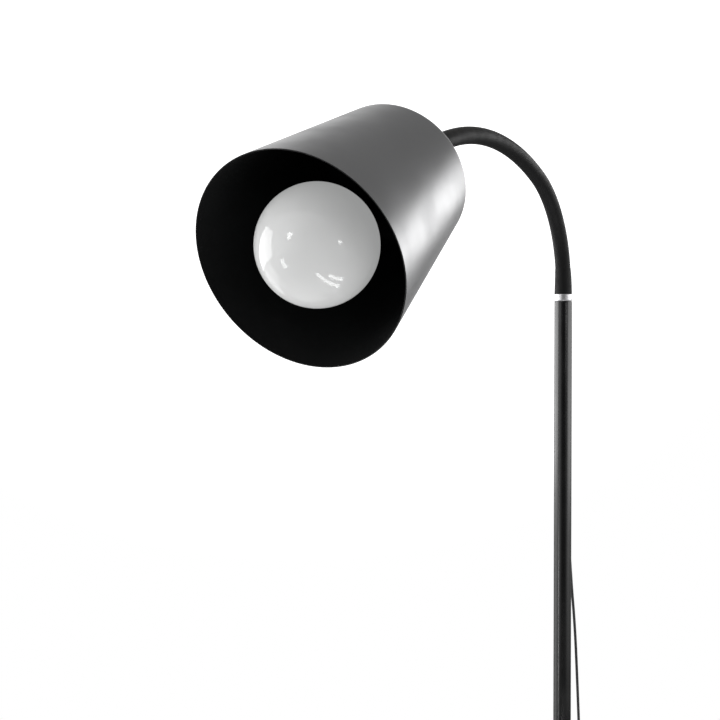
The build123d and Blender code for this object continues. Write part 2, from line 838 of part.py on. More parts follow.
# ---------------------------------------------------------------- build
def build():
    os.makedirs("parts", exist_ok=True)
    save("base_pad", base_pad())
    save("base_plate", base_plate())
    save("base_weight", base_weight())
    save("base_cover", base_cover())
    save("base_rod", tie_rod())
    save("base_fasteners", base_fasteners())
    save("pole_foot", pole_foot())
    save("pole_plug", pole_plug())
    sections = [pole_start, pole_joints[0], pole_joints[1], pole_top]
    save("pole_lower", pole_tube(sections[0], sections[1] - 0.1))
    save("pole_middle", pole_tube(sections[1] + 0.1, sections[2] - 0.1))
    save("pole_upper", upper_pole_tube(sections[2] + 0.1, sections[3]))
    save("pole_couplers", pole_couplers())
    save("pole_insert", top_insert())
    save("pole_lead", pole_lead())
    save("collar_ring", collar_ring())
    save("cord_bushing", cord_bushing())

    save("neck_ferrule_lower", lower_ferrule())
    places = [place for place, _ in neck_joints]
    for number, (low, high) in enumerate(zip(places, places[1:]), 1):
        save(f"neck_link_{number:02d}", neck_link(low, high))
    save("neck_ferrule_upper", upper_ferrule())
    save("neck_sleeve", neck_sleeve())
    save("neck_lead", neck_lead())

    save("shade_shell", shade_shell())
    save("shade_washers", shade_washers())
    save("shade_lock_nut", lock_nut())
    save("holder_spacer", spacer_tube())
    save("holder_cap", holder_cap())
    save("holder_shell", holder_shell())
    save("holder_core", holder_core())
    save("holder_screws", terminal_screws())
    save("holder_screw_shell", screw_shell())
    save("holder_contact", centre_contact())
    save("bulb_contact", bulb_contact())
    save("bulb_insulator", bulb_insulator())
    save("bulb_cap", bulb_cap())
    save("bulb_collar", bulb_collar())
    save("bulb_globe", bulb_globe())

    save("cord_drop", cord_tube("cord_drop", drop_route()))
    save("cord_tail", cord_tube("cord_tail", tail_route()))
    save("cord_coil", cord_coil())
    save("cord_end", cord_tube("cord_end", end_route()))
    save("coil_tie", coil_tie())
    save("switch_base", switch_base())
    save("switch_cover", switch_cover())
    save("switch_mechanism", switch_mechanism())
    save("switch_screws", switch_screws())
    save("switch_spring", switch_spring())
    save("foot_button", foot_button())
    save("plug_body", plug_body())
    save("plug_pins", plug_pins())

    for number, (place, way) in enumerate(neck_joints, 1):
        print("neck joint", number, way, [round(v, 3) for v in place])
    print("head axis", [round(v, 5) for v in head_axis], "back centre", [round(v, 3) for v in back_centre])


build()
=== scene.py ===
import bpy
import bmesh
from math import acos, asin, cos, degrees, pi, radians, sin, sqrt
from mathutils import Matrix, Vector


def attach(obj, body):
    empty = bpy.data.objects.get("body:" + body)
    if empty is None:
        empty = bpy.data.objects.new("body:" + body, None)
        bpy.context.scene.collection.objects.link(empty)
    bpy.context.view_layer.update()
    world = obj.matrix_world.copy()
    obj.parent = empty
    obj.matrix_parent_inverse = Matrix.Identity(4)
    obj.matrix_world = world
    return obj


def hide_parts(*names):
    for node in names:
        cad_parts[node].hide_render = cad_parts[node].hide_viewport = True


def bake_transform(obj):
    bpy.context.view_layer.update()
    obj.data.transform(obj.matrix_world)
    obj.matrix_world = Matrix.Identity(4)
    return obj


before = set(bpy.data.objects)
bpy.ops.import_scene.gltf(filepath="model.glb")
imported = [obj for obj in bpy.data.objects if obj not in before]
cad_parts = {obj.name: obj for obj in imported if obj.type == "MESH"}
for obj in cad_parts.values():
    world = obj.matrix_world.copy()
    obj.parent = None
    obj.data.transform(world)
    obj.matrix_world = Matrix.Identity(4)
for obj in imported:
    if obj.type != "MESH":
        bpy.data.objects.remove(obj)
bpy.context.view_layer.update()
millimetre = 0.001


# camera
cameraView = {
    "position": (0.592220, -1.449768, 1.289681),
    "right": (0.86713036, 0.49807885, -0.00154845),
    "up": (-0.01470334, 0.02870500, 0.99947978),
    "back": (0.49786419, -0.86665650, 0.03221440),
    "lens": 75.563,
    "sensor": 36.0,
}


def showObject(name, data):
    shown = bpy.data.objects.new(name, data)
    bpy.context.scene.collection.objects.link(shown)
    return shown


def placeCamera(view):
    data = bpy.data.cameras.new("photoCamera")
    data.lens = view["lens"]
    data.sensor_width = view["sensor"]
    data.sensor_fit = "HORIZONTAL"
    data.clip_start, data.clip_end = 0.05, 60.0
    camera = showObject("photoCamera", data)
    turn = Matrix((view["right"], view["up"], view["back"])).transposed()
    camera.matrix_world = Matrix.Translation(view["position"]) @ turn.to_4x4()
    bpy.context.scene.camera = camera


placeCamera(cameraView)
print("camera placed")


# shared shader effects
def newGroup(name, numbers, outputs):
    # takes a vector and some numbers, and gives numbers
    group = bpy.data.node_groups.new(name, "ShaderNodeTree")
    group.interface.new_socket(name="Vector", in_out="INPUT", socket_type="NodeSocketVector")
    for label, value in numbers.items():
        socket = group.interface.new_socket(name=label, in_out="INPUT", socket_type="NodeSocketFloat")
        socket.default_value = value
    for label in outputs:
        group.interface.new_socket(name=label, in_out="OUTPUT", socket_type="NodeSocketFloat")
    return group, group.nodes.new("NodeGroupInput"), group.nodes.new("NodeGroupOutput")


def feedSocket(tree, socket, value):
    # the value is a number, a colour or another node's output
    if isinstance(value, (int, float)):
        socket.default_value = value
    elif isinstance(value, tuple):
        socket.default_value = (*value, 1.0)
    else:
        tree.links.new(value, socket)


def mathNode(tree, operation, first, second=None, clamp=False):
    node = tree.nodes.new("ShaderNodeMath")
    node.operation = operation
    node.use_clamp = clamp
    feedSocket(tree, node.inputs[0], first)
    if second is not None:
        feedSocket(tree, node.inputs[1], second)
    return node.outputs[0]


def noiseNode(tree, vector, scale, detail, roughness=0.5):
    node = tree.nodes.new("ShaderNodeTexNoise")
    node.inputs["Detail"].default_value = detail
    node.inputs["Roughness"].default_value = roughness
    tree.links.new(vector, node.inputs["Vector"])
    feedSocket(tree, node.inputs["Scale"], scale)
    return node.outputs["Fac"]


def rangeNode(tree, value, low, high, toLow=0.0, toHigh=1.0):
    node = tree.nodes.new("ShaderNodeMapRange")
    node.interpolation_type = "SMOOTHSTEP"
    tree.links.new(value, node.inputs["Value"])
    for label, number in (("From Min", low), ("From Max", high), ("To Min", toLow), ("To Max", toHigh)):
        feedSocket(tree, node.inputs[label], number)
    return node.outputs["Result"]


def buildSurfaceGrain():
    # fine grain for bump, and slow patches for colour and gloss
    numbers = {"Grain Scale": 900.0, "Patch Scale": 14.0}
    group, source, target = newGroup("surfaceGrain", numbers, ["Tint", "Gloss", "Height"])
    vector, grainScale, patchScale = source.outputs[:3]
    grain = noiseNode(group, vector, grainScale, 4.0, 0.6)
    patch = noiseNode(group, vector, patchScale, 5.0, 0.55)
    smear = noiseNode(group, vector, mathNode(group, "MULTIPLY", patchScale, 3.7), 3.0)
    tint = rangeNode(group, patch, 0.3, 0.7)
    gloss = mathNode(group, "ADD", mathNode(group, "MULTIPLY", rangeNode(group, smear, 0.35, 0.7), 0.6),
                     mathNode(group, "MULTIPLY", grain, 0.4))
    for label, value in (("Tint", tint), ("Gloss", gloss), ("Height", grain)):
        group.links.new(value, target.inputs[label])
    return group


def buildDustAndPaintedLightFilm():
    # a pale film on faces that look up: real dust on most pieces, and on the neck also a painted lighter top
    # where light falls from above
    group, source, target = newGroup("dustAndPaintedLightFilm", {"Amount": 0.1}, ["Mask"])
    geometry = group.nodes.new("ShaderNodeNewGeometry")
    split = group.nodes.new("ShaderNodeSeparateXYZ")
    group.links.new(geometry.outputs["Normal"], split.inputs[0])
    facing = rangeNode(group, split.outputs["Z"], 0.2, 1.0)
    cloud = rangeNode(group, noiseNode(group, source.outputs["Vector"], 60.0, 8.0, 0.7), 0.3, 0.75)
    film = mathNode(group, "MULTIPLY", mathNode(group, "MULTIPLY", facing, cloud), source.outputs["Amount"])
    group.links.new(film, target.inputs["Mask"])
    return group


def buildHairScratches():
    # sparse fine scratches in two directions
    group, source, target = newGroup("hairScratches", {"Amount": 0.2}, ["Mask"])
    total = None
    for turnAngle, stretch in ((0.5, (900.0, 22.0, 30.0)), (1.9, (24.0, 30.0, 900.0))):
        mapping = group.nodes.new("ShaderNodeMapping")
        mapping.inputs["Rotation"].default_value = (turnAngle, turnAngle * 0.7, 0.3)
        mapping.inputs["Scale"].default_value = stretch
        group.links.new(source.outputs["Vector"], mapping.inputs["Vector"])
        lines = rangeNode(group, noiseNode(group, mapping.outputs[0], 1.0, 2.0), 0.68, 0.74)
        total = lines if total is None else mathNode(group, "MAXIMUM", total, lines)
    group.links.new(mathNode(group, "MULTIPLY", total, source.outputs["Amount"]), target.inputs["Mask"])
    return group


def buildLatheRings():
    # faint turning marks round the Z axis of the vector it is given
    group, source, target = newGroup("latheRings", {"Pitch Scale": 1500.0}, ["Height", "Band"])
    split = group.nodes.new("ShaderNodeSeparateXYZ")
    group.links.new(source.outputs["Vector"], split.inputs[0])
    squares = [mathNode(group, "POWER", split.outputs[key], 2.0) for key in ("X", "Y")]
    radial = mathNode(group, "SQRT", mathNode(group, "ADD", *squares))
    join = group.nodes.new("ShaderNodeCombineXYZ")
    group.links.new(mathNode(group, "ADD", split.outputs["Z"], radial), join.inputs["X"])
    for label, scale, detail in (("Height", source.outputs["Pitch Scale"], 2.0), ("Band", 46.0, 3.0)):
        group.links.new(noiseNode(group, join.outputs[0], scale, detail), target.inputs[label])
    return group


surfaceGrain = buildSurfaceGrain()
dustAndPaintedLightFilm = buildDustAndPaintedLightFilm()
hairScratches = buildHairScratches()
latheRings = buildLatheRings()


def mixColour(tree, factor, first, second):
    node = tree.nodes.new("ShaderNodeMix")
    node.data_type = "RGBA"
    tree.links.new(factor, node.inputs["Factor"])
    feedSocket(tree, node.inputs[6], first)
    feedSocket(tree, node.inputs[7], second)
    return node.outputs[2]


def addGroup(tree, group, vector, values):
    node = tree.nodes.new("ShaderNodeGroup")
    node.node_tree = group
    tree.links.new(vector, node.inputs["Vector"])
    for label, value in values.items():
        node.inputs[label].default_value = value
    return node


def newMaterial(name):
    material = bpy.data.materials.new(name)
    material.use_nodes = True
    return material, material.node_tree, material.node_tree.nodes["Principled BSDF"]


effectValues = {
    "bandGloss": 0.06,                          # how much the lathe's bands change the gloss
    "scratchGloss": 0.25,
    "dustAndPaintedLightGloss": 0.5,
    "dustAndPaintedLightColour": (0.36, 0.35, 0.33),
}


def makeFinish(name, look):
    # colour: (dark, light); rough: (low, high); the rest has plain values
    material, tree, shader = newMaterial(name)
    vector = tree.nodes.new("ShaderNodeTexCoord").outputs["Object"]
    if "axisPlace" in look:                     # turns the pattern to the piece's own axis
        mapping = tree.nodes.new("ShaderNodeMapping")
        move, turn = look["axisPlace"]
        mapping.inputs["Location"].default_value = move
        mapping.inputs["Rotation"].default_value = turn
        tree.links.new(vector, mapping.inputs["Vector"])
        vector = mapping.outputs[0]
    grain = addGroup(tree, surfaceGrain, vector,
                     {"Grain Scale": look.get("grain", 900.0), "Patch Scale": look.get("patch", 14.0)})
    colour = mixColour(tree, grain.outputs["Tint"], *look["colour"])
    low, high = look["rough"]
    rough = rangeNode(tree, grain.outputs["Gloss"], 0.1, 0.9, low, high)
    height = grain.outputs["Height"]
    if look.get("rings"):
        rings = addGroup(tree, latheRings, vector, {"Pitch Scale": look["rings"]})
        height = mathNode(tree, "ADD", mathNode(tree, "MULTIPLY", height, 1.0 - look["ringShare"]),
                          mathNode(tree, "MULTIPLY", rings.outputs["Height"], look["ringShare"]))
        band = mathNode(tree, "SUBTRACT", rings.outputs["Band"], 0.5)
        rough = mathNode(tree, "ADD", rough, mathNode(tree, "MULTIPLY", band, effectValues["bandGloss"]))
    if look.get("scratches"):
        marks = addGroup(tree, hairScratches, vector, {"Amount": look["scratches"]}).outputs["Mask"]
        dull = mathNode(tree, "MULTIPLY", marks, effectValues["scratchGloss"])
        rough = mathNode(tree, "ADD", rough, dull, clamp=True)
        colour = mixColour(tree, marks, colour, look["colour"][1])
    # the film mixes a pale colour into upward faces: dust, and painted light where a piece uses it to lighten
    # its lit top
    if look.get("dustAndPaintedLight"):
        film = addGroup(tree, dustAndPaintedLightFilm, vector, {"Amount": look["dustAndPaintedLight"]}).outputs["Mask"]
        colour = mixColour(tree, film, colour, effectValues["dustAndPaintedLightColour"])
        dull = mathNode(tree, "MULTIPLY", film, effectValues["dustAndPaintedLightGloss"])
        rough = mathNode(tree, "ADD", rough, dull, clamp=True)
    tree.links.new(colour, shader.inputs["Base Color"])
    tree.links.new(rough, shader.inputs["Roughness"])
    bump = tree.nodes.new("ShaderNodeBump")
    bump.inputs["Strength"].default_value = look.get("bump", 0.15)
    bump.inputs["Distance"].default_value = look.get("bumpDepth", 0.0002)
    tree.links.new(height, bump.inputs["Height"])
    tree.links.new(bump.outputs[0], shader.inputs["Normal"])
    for label, value in look.get("plain", {}).items():
        shader.inputs[label].default_value = value
    return material


# shared mesh tools
roundingValues = {"support": 2.5, "longRun": 8.0, "largeRounding": 0.8}


def supportPoint(spot, other, rounding):
    # a point just past a rounding, where the run to the next corner is long
    if not rounding or other is None or (other - spot).length <= roundingValues["longRun"] * rounding:
        return []
    return [tuple(spot + (other - spot).normalized() * roundingValues["support"] * rounding)]


def withSupports(outline, closed):
    # keeps a small rounding from tilting the shading of the long face beside it
    spots = [None if step[0] == "arc" else Vector((step[0], step[1])) for step in outline]
    full = []
    for k, step in enumerate(outline):
        rounding = step[2] if step[0] != "arc" and len(step) == 3 else 0.0
        last = k == len(outline) - 1
        after = spots[(k + 1) % len(spots)] if closed or not last else None
        before = spots[k - 1] if k or closed else None
        full += supportPoint(spots[k], before, rounding) + [step] + supportPoint(spots[k], after, rounding)
    return full


def addRun(bm, outline, closed=True):
    # (radius, height), (radius, height, rounding) or ("arc", radius, height, turn, steps) in millimetres
    verts, roundings = [], []
    for step in withSupports(outline, closed):
        if step[0] == "arc":
            made = bmesh.ops.spin(bm, geom=[verts[-1]], cent=(step[1], 0, step[2]), axis=(0, -1, 0),
                                  angle=radians(step[3]), steps=step[4])
            verts.append([v for v in made["geom_last"] if isinstance(v, bmesh.types.BMVert)][0])
            continue
        vert = bm.verts.new((step[0], 0, step[1]))
        if verts:
            bm.edges.new((verts[-1], vert))
        verts.append(vert)
        if len(step) == 3:
            roundings.append((vert, step[2]))
    if closed:
        bm.edges.new((verts[-1], verts[0]))
    for vert, size in roundings:
        segments = 4 if size > roundingValues["largeRounding"] else 2
        bmesh.ops.bevel(bm, geom=[vert], offset=size, offset_type="OFFSET", segments=segments,
                        profile=0.5, affect="VERTICES", material=-1)


def turnedMesh(outline, steps=96, place=None, closed=True):
    bm = bmesh.new()
    addRun(bm, outline, closed)
    bmesh.ops.spin(bm, geom=bm.verts[:] + bm.edges[:], cent=(0, 0, 0), axis=(0, 0, 1), angle=2 * pi,
                   steps=steps, use_merge=True)
    bmesh.ops.remove_doubles(bm, verts=bm.verts, dist=1e-4)
    bmesh.ops.recalc_face_normals(bm, faces=bm.faces)
    if place:
        bmesh.ops.transform(bm, matrix=place, verts=bm.verts)
    return bm


def finishPiece(name, bm, material, body="stand", replaced=(), sharp=38, bevel=None):
    # takes a mesh in millimetres to a smooth-shaded piece in metres
    bmesh.ops.scale(bm, vec=(millimetre,) * 3, verts=bm.verts)
    mesh = bpy.data.meshes.new(name)
    bm.to_mesh(mesh)
    bm.free()
    mesh.shade_smooth()
    mesh.set_sharp_from_angle(angle=radians(sharp))
    piece = showObject(name, mesh)
    materials = material if isinstance(material, (list, tuple)) else [material]
    for each in materials:
        mesh.materials.append(each)
    if bevel:
        rounding = piece.modifiers.new("edgeRounding", "BEVEL")
        rounding.width, rounding.segments = bevel[0] * millimetre, bevel[1]
        rounding.limit_method, rounding.angle_limit = "ANGLE", radians(50)
        rounding.harden_normals = True
    if body:
        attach(piece, body)
    if replaced:
        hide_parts(*replaced)
    return piece


def loopRing(bm, place, radius, segments):
    made = bmesh.ops.create_circle(bm, radius=radius, segments=segments, cap_ends=False, matrix=place)
    return [e for v in made["verts"] for e in v.link_edges if e.verts[0] == v]


def bridgeRings(bm, rings):
    for first, second in zip(rings, rings[1:]):
        bmesh.ops.bridge_loops(bm, edges=first + second)


def capRing(bm, ring):
    bmesh.ops.contextual_create(bm, geom=ring)


def tubeAlong(stations, segments=32):
    # a closed round skin through (place, radius) stations
    bm = bmesh.new()
    rings = [loopRing(bm, place, radius, segments) for place, radius in stations]
    bridgeRings(bm, rings)
    capRing(bm, rings[0])
    capRing(bm, rings[-1])
    bmesh.ops.recalc_face_normals(bm, faces=bm.faces)
    return bm


def headOn(point, way, sideways=(1, 0, 0)):
    # a place with Z along the way and X kept near the sideways direction
    z = Vector(way).normalized()
    y = z.cross(Vector(sideways)).normalized()
    x = y.cross(z)
    turn = Matrix((x, y, z)).transposed().to_4x4()
    return Matrix.Translation(point) @ turn


# mains cord
cordValues = {
    "diameter": 0.0028,
    "exit": (0.0, 16.6, 1056.0),
    "dropRoute": [
        (0, 16.6, 1056), (0, 22.843, 1012.445), (0, 35, 957), (0, 42, 897), (0, 48, 840), (-1, 53, 783),
        (-3, 57, 726), (-6, 60.5, 669), (-9.5, 64.5, 612), (-14, 69, 555), (-19, 74, 498), (-24.5, 80, 441),
        (-30, 87, 385), (-35, 95, 329), (-40, 104.5, 273), (-44.5, 115.5, 218), (-49, 129, 164),
        (-53, 145, 112), (-57, 165, 64), (-60, 192, 26), (-60, 226, 5), (-51, 257, 1.5), (-31, 276, 1.5),
        (-6, 280, 4), (16, 280, 4), (22, 280, 4),
    ],
    "tailRoute": [
        (80, 280, 4), (99, 280, 4), (119, 271, 1.5), (125, 250, 1.5), (118, 229, 1.8), (103, 212, 2.1),
        (82, 204.8, 2.4), (62.8, 204.8, 2.4),
    ],
    "endRoute": [(57.2, 206.45, 5.8), (40, 206.45, 5.8), (23.244, 207.458, 6.9), (10, 214.5, 6.9)],
    "coilCentre": (60.0, 228.0),
    "coilOuter": 23.2,
    "coilPitch": 3.3,
    "turnsIn": 4.0,
    "turnsOut": 3.5,
    "coilHeight": 2.4,
    "coilLayer": 3.4,
    "coilDip": 0.6,
    "pointsPerTurn": 16,
}


def coilRoute(values):
    # in a layer on the floor, up half a turn, and out again on top
    turnsIn, turnsOut = values["turnsIn"], values["turnsOut"]
    centreX, centreY = values["coilCentre"]
    inner = values["coilOuter"] - values["coilPitch"] * turnsIn
    count = int(round((turnsIn + 0.5 + turnsOut) * values["pointsPerTurn"]))
    points = []
    for k in range(1, count):
        turns = k / values["pointsPerTurn"]
        if turns <= turnsIn:
            radius, rise = values["coilOuter"] - values["coilPitch"] * turns, 0.0
        elif turns <= turnsIn + 0.5:
            share = (turns - turnsIn) / 0.5
            radius = inner - values["coilDip"] * sin(pi * share) ** 2
            rise = share * share * (3 - 2 * share)
        else:
            radius, rise = inner + values["coilPitch"] * (turns - turnsIn - 0.5), 1.0
        angle = radians(-90 - 360 * turns)
        points.append((centreX + radius * cos(angle), centreY + radius * sin(angle),
                       values["coilHeight"] + values["coilLayer"] * rise))
    return points


def cordCurve(name, route, values, material, resolution):
    curve = bpy.data.curves.new(name, "CURVE")
    curve.dimensions = "3D"
    spline = curve.splines.new("NURBS")
    spline.points.add(len(route) - 1)
    for point, place in zip(spline.points, route):
        point.co = (*(v * millimetre for v in place), 1.0)
    spline.order_u = 3
    spline.use_endpoint_u = True
    spline.resolution_u = resolution
    curve.bevel_depth = values["diameter"] / 2
    curve.bevel_resolution = 5
    curve.use_fill_caps = True
    curve.materials.append(material)
    piece = showObject(name, curve)
    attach(piece, "stand")
    return piece


cordFinish = makeFinish("cordJacket", {
    "colour": ((0.012, 0.012, 0.013), (0.020, 0.020, 0.021)), "rough": (0.38, 0.52), "grain": 2600.0,
    "patch": 40.0, "bump": 0.10, "plain": {"Specular IOR Level": 0.45}})
dropCord = cordCurve("cordDrop", cordValues["dropRoute"], cordValues, cordFinish, 14)
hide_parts("cord_drop")
tailCord = cordCurve("cordTail", cordValues["tailRoute"] + coilRoute(cordValues) + cordValues["endRoute"],
                     cordValues, cordFinish, 5)
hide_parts("cord_tail", "cord_coil", "cord_end")
print("cords laid")


# base and pole
baseValues = {
    "coverRadius": 135.0, "coverTop": 20.0, "coverEdge": 5.0, "wall": 1.2, "skirtFoot": 2.0,
    "rodHole": 5.3, "padRadius": 128.0, "padThickness": 2.0, "steps": 160,
    "paint": {"colour": ((0.0060, 0.0060, 0.0064), (0.0090, 0.0090, 0.0094)), "rough": (0.34, 0.46),
              "grain": 1500.0, "patch": 9.0, "bump": 0.22, "bumpDepth": 0.00012, "dustAndPaintedLight": 0.035,
              "scratches": 0.05, "plain": {"Specular IOR Level": 0.5}},
    "felt": {"colour": ((0.010, 0.010, 0.010), (0.022, 0.022, 0.022)), "rough": (0.9, 1.0), "grain": 1800.0,
             "patch": 120.0, "bump": 0.8, "bumpDepth": 0.0006},
    "iron": {"colour": ((0.022, 0.021, 0.020), (0.05, 0.047, 0.044)), "rough": (0.6, 0.85), "grain": 420.0,
             "patch": 30.0, "bump": 0.6, "bumpDepth": 0.0008, "plain": {"Metallic": 0.7}},
    "steel": {"colour": ((0.42, 0.42, 0.43), (0.56, 0.56, 0.56)), "rough": (0.24, 0.42), "grain": 800.0,
              "patch": 50.0, "bump": 0.12, "scratches": 0.25, "plain": {"Metallic": 1.0}},
}
poleValues = {
    "radius": 9.0, "wall": 1.2, "foot": 20.3, "joints": (430.0, 850.0), "top": 1300.0, "seamGap": 0.1,
    "seamRound": 0.25, "footRadius": 15.0, "footHeight": 5.0, "footClear": 0.05, "steps": 72,
    "paint": {"colour": ((0.0024, 0.0024, 0.0026), (0.0036, 0.0036, 0.0038)), "rough": (0.21, 0.27),
              "grain": 1700.0, "patch": 11.0, "bump": 0.06, "bumpDepth": 0.00005, "scratches": 0.03,
              "plain": {"Specular IOR Level": 0.78}},
    "ring": {"colour": ((0.66, 0.655, 0.67), (0.72, 0.715, 0.73)), "rough": (0.40, 0.46), "grain": 900.0,
             "patch": 60.0, "rings": 2600.0, "ringShare": 0.8, "bump": 0.03, "bumpDepth": 0.00005,
             "plain": {"Metallic": 1.0}},
}
basePaint = makeFinish("basePaint", baseValues["paint"])
baseFelt = makeFinish("baseFelt", baseValues["felt"])
castIron = makeFinish("castIron", baseValues["iron"])
plainSteel = makeFinish("plainSteel", baseValues["steel"])
polePaint = makeFinish("polePaint", poleValues["paint"])
ringChrome = makeFinish("ringChrome", poleValues["ring"])


def makeBase(v):
    r, h, wall, low, hole = v["coverRadius"], v["coverTop"], v["wall"], v["skirtFoot"], v["rodHole"]
    cover = turnedMesh([(r - wall, low), (r, low, 0.4), (r, h, v["coverEdge"]), (hole, h), (hole, h - wall),
                        (r - wall, h - wall, v["coverEdge"] - wall)], v["steps"])
    finishPiece("baseCover", cover, basePaint, replaced=["base_cover"])
    pad = turnedMesh([(0, 0), (v["padRadius"], 0, 0.5), (v["padRadius"], v["padThickness"], 0.3),
                      (0, v["padThickness"])], v["steps"], closed=False)
    finishPiece("basePad", pad, baseFelt, replaced=["base_pad"])


def makePole(v):
    r, inner, gap, edge = v["radius"], v["radius"] - v["wall"], v["seamGap"], v["seamRound"]
    ends = [v["foot"], *v["joints"], v["top"]]
    names = (("poleLower", "pole_lower"), ("poleMiddle", "pole_middle"), ("poleUpper", "pole_upper"))
    for (name, node), low, high in zip(names, ends, ends[1:]):
        low = low if low == ends[0] else low + gap
        high = high if high == ends[-1] else high - gap
        tube = turnedMesh([(inner, low), (r, low, edge), (r, high, edge), (inner, high)], v["steps"])
        finishPiece(name, tube, polePaint, replaced=[node])
    low = baseValues["coverTop"]
    high, bore, wide = low + v["footHeight"], r + v["footClear"], v["footRadius"]
    foot = turnedMesh([(bore, low), (wide, low), (wide, low + 2.0, 0.9), (r + 2.0, high, 1.2),
                       (bore, high, 0.2)], v["steps"])
    finishPiece("poleFoot", foot, basePaint, replaced=["pole_foot"])


ringValues = {"radius": 9.0, "bore": 5.0, "low": 1300.0, "high": 1307.0, "edge": 0.55, "steps": 96}


def makeRing(v):
    ring = turnedMesh([(v["bore"], v["low"]), (v["radius"], v["low"], v["edge"]),
                       (v["radius"], v["high"], v["edge"]), (v["bore"], v["high"])], v["steps"])
    finishPiece("collarRing", ring, ringChrome, replaced=["collar_ring"])


makeBase(baseValues)
makePole(poleValues)
makeRing(ringValues)
print("base, pole and ring made")


# cord elbow at the pole's back
elbowValues = {
    "start": (0.0, 6.6, 1086.0), "corner": (0.0, 12.3, 1086.0), "exit": (0.0, 16.6, 1056.0), "bend": 5.2,
    "radius": 3.0, "endRadius": 2.2, "taper": 19.0, "ribs": 5, "ribDepth": 0.35, "segments": 36,
    "flange": 4.4, "flangeStart": 7.4, "flangeThickness": 3.2,
    "rubber": {"colour": ((0.010, 0.010, 0.011), (0.018, 0.018, 0.019)), "rough": (0.5, 0.66),
               "grain": 1600.0, "patch": 60.0, "bump": 0.25, "bumpDepth": 0.00012},
}
mouldedRubber = makeFinish("mouldedRubber", elbowValues["rubber"])


def elbowStations(v):
    start, corner, end = (Vector(v[key]) for key in ("start", "corner", "exit"))
    way, away = (corner - start).normalized(), (end - corner).normalized()
    turnAngle = way.angle(away)
    reach = v["bend"] * (sin(turnAngle / 2) / cos(turnAngle / 2))
    first, last = corner - way * reach, corner + away * reach
    centre = first + Vector((0, 0, -v["bend"]))
    stations = [(headOn(start, way), v["radius"])]
    for k in range(11):
        angle = turnAngle * k / 10
        spot = centre + Matrix.Rotation(-angle, 3, "X") @ Vector((0, 0, v["bend"]))
        stations.append((headOn(spot, Matrix.Rotation(-angle, 3, "X") @ way), v["radius"]))
    coneStart = end - away * v["taper"]
    stations.append((headOn(coneStart, away), v["radius"]))
    for k in range(v["ribs"]):
        for share, dip in ((0.15, 0.0), (0.30, 1.0), (0.55, 1.0), (0.70, 0.0)):
            along = (k + share) / v["ribs"]
            radius = v["radius"] + (v["endRadius"] - v["radius"]) * along
            spot = coneStart + away * v["taper"] * along
            stations.append((headOn(spot, away), radius - dip * v["ribDepth"]))
    stations.append((headOn(end - away * 0.3, away), v["endRadius"]))
    stations.append((headOn(end, away), v["endRadius"] - 0.35))
    return stations


def makeElbow(v):
    elbow = tubeAlong(elbowStations(v), v["segments"])
    finishPiece("cordElbow", elbow, mouldedRubber, replaced=["cord_bushing"], sharp=50)
    place = headOn((0, v["flangeStart"], v["corner"][2]), (0, 1, 0))
    r, thickness = v["flange"], v["flangeThickness"]
    flange = turnedMesh([(0, 0), (r, 0), (r, thickness, 0.7), (0, thickness)], 48, place, closed=False)
    finishPiece("cordFlange", flange, mouldedRubber)


makeElbow(elbowValues)


# neck
neckValues = {
    "foot": 10.0, "arcs": ((65.0, 115.0), (51.0, 294.0)), "tip": 39.0, "start": 1307.0,
    "linksPerArc": (4, 5), "swayLinks": (1, 4, 7), "radius": 7.78, "wall": 1.25,
    "flareRadius": 9.0, "flareLength": 27.0, "flareCurve": 0.62,
    "swellStart": 230.0, "swellLength": 130.0, "swell": 0.35, "endGap": 5.6,
    "segments": 48, "stationGap": 2.0, "hold": 1.3,
    # the sleeve's dust amount is mostly painted light: it lightens the upward side where light from above
    # falls
    "rubber": {"colour": ((0.0060, 0.0060, 0.0063), (0.0080, 0.0080, 0.0084)), "rough": (0.56, 0.66),
               "grain": 1300.0, "patch": 26.0, "bump": 0.22, "bumpDepth": 0.00010, "dustAndPaintedLight": 0.10,
               "plain": {"Specular IOR Level": 0.20}},
}
sleeveRubber = makeFinish("sleeveRubber", neckValues["rubber"])


def neckPlace(v, length):
    # the centre line's point and direction at a length from the ring
    reach, height, lean = 0.0, v["start"], 0.0
    step = min(length, v["foot"])
    height += step
    length -= step
    for sweepAngle, radius in v["arcs"]:
        part = min(length, radians(sweepAngle) * radius)
        turn = part / radius
        reach += radius * (cos(lean) - cos(lean + turn))
        height += radius * (sin(lean + turn) - sin(lean))
        lean += turn
        length -= part
    way = Vector((0, -sin(lean), cos(lean)))
    return Vector((0, -reach, height)) + way * length, way


def neckJointLengths(v):
    marks = [v["foot"]]
    for sweepAngle, radius in v["arcs"]:
        marks.append(marks[-1] + radians(sweepAngle) * radius)
    bends = []
    for count, low, high in zip(v["linksPerArc"], marks, marks[1:]):
        bends += [low + (high - low) * k / count for k in range(count)]
    bends.append(marks[-1])
    lengths = []
    for number, length in enumerate(bends):
        lengths.append(length)
        if number in v["swayLinks"]:
            lengths.append((length + bends[number + 1]) / 2)
    return lengths, marks[-1] + v["tip"]


def sleeveRadius(v, length):
    # a bell above the ring, and a slow swelling towards the head
    bell = min(max(1 - length / v["flareLength"], 0), 1) ** v["flareCurve"]
    swell = min(max((length - v["swellStart"]) / v["swellLength"], 0), 1)
    return v["radius"] + (v["flareRadius"] - v["radius"]) * bell + v["swell"] * swell


def sleeveStretch(v, low, high):
    # a closed tube wall between two lengths
    count = max(3, int(round((high - low) / v["stationGap"])))
    lengths = [low + (high - low) * k / count for k in range(count + 1)]
    if low < v["flareLength"] < high:
        lengths = sorted(set(lengths + [v["flareLength"]]))
    bm = bmesh.new()
    rings = []
    for inner, order in ((0.0, lengths), (v["wall"], lengths[::-1])):
        for length in order:
            point, way = neckPlace(v, length)
            rings.append(loopRing(bm, headOn(point, way), sleeveRadius(v, length) - inner, v["segments"]))
    bridgeRings(bm, rings + rings[:1])
    bmesh.ops.recalc_face_normals(bm, faces=bm.faces)
    return bm


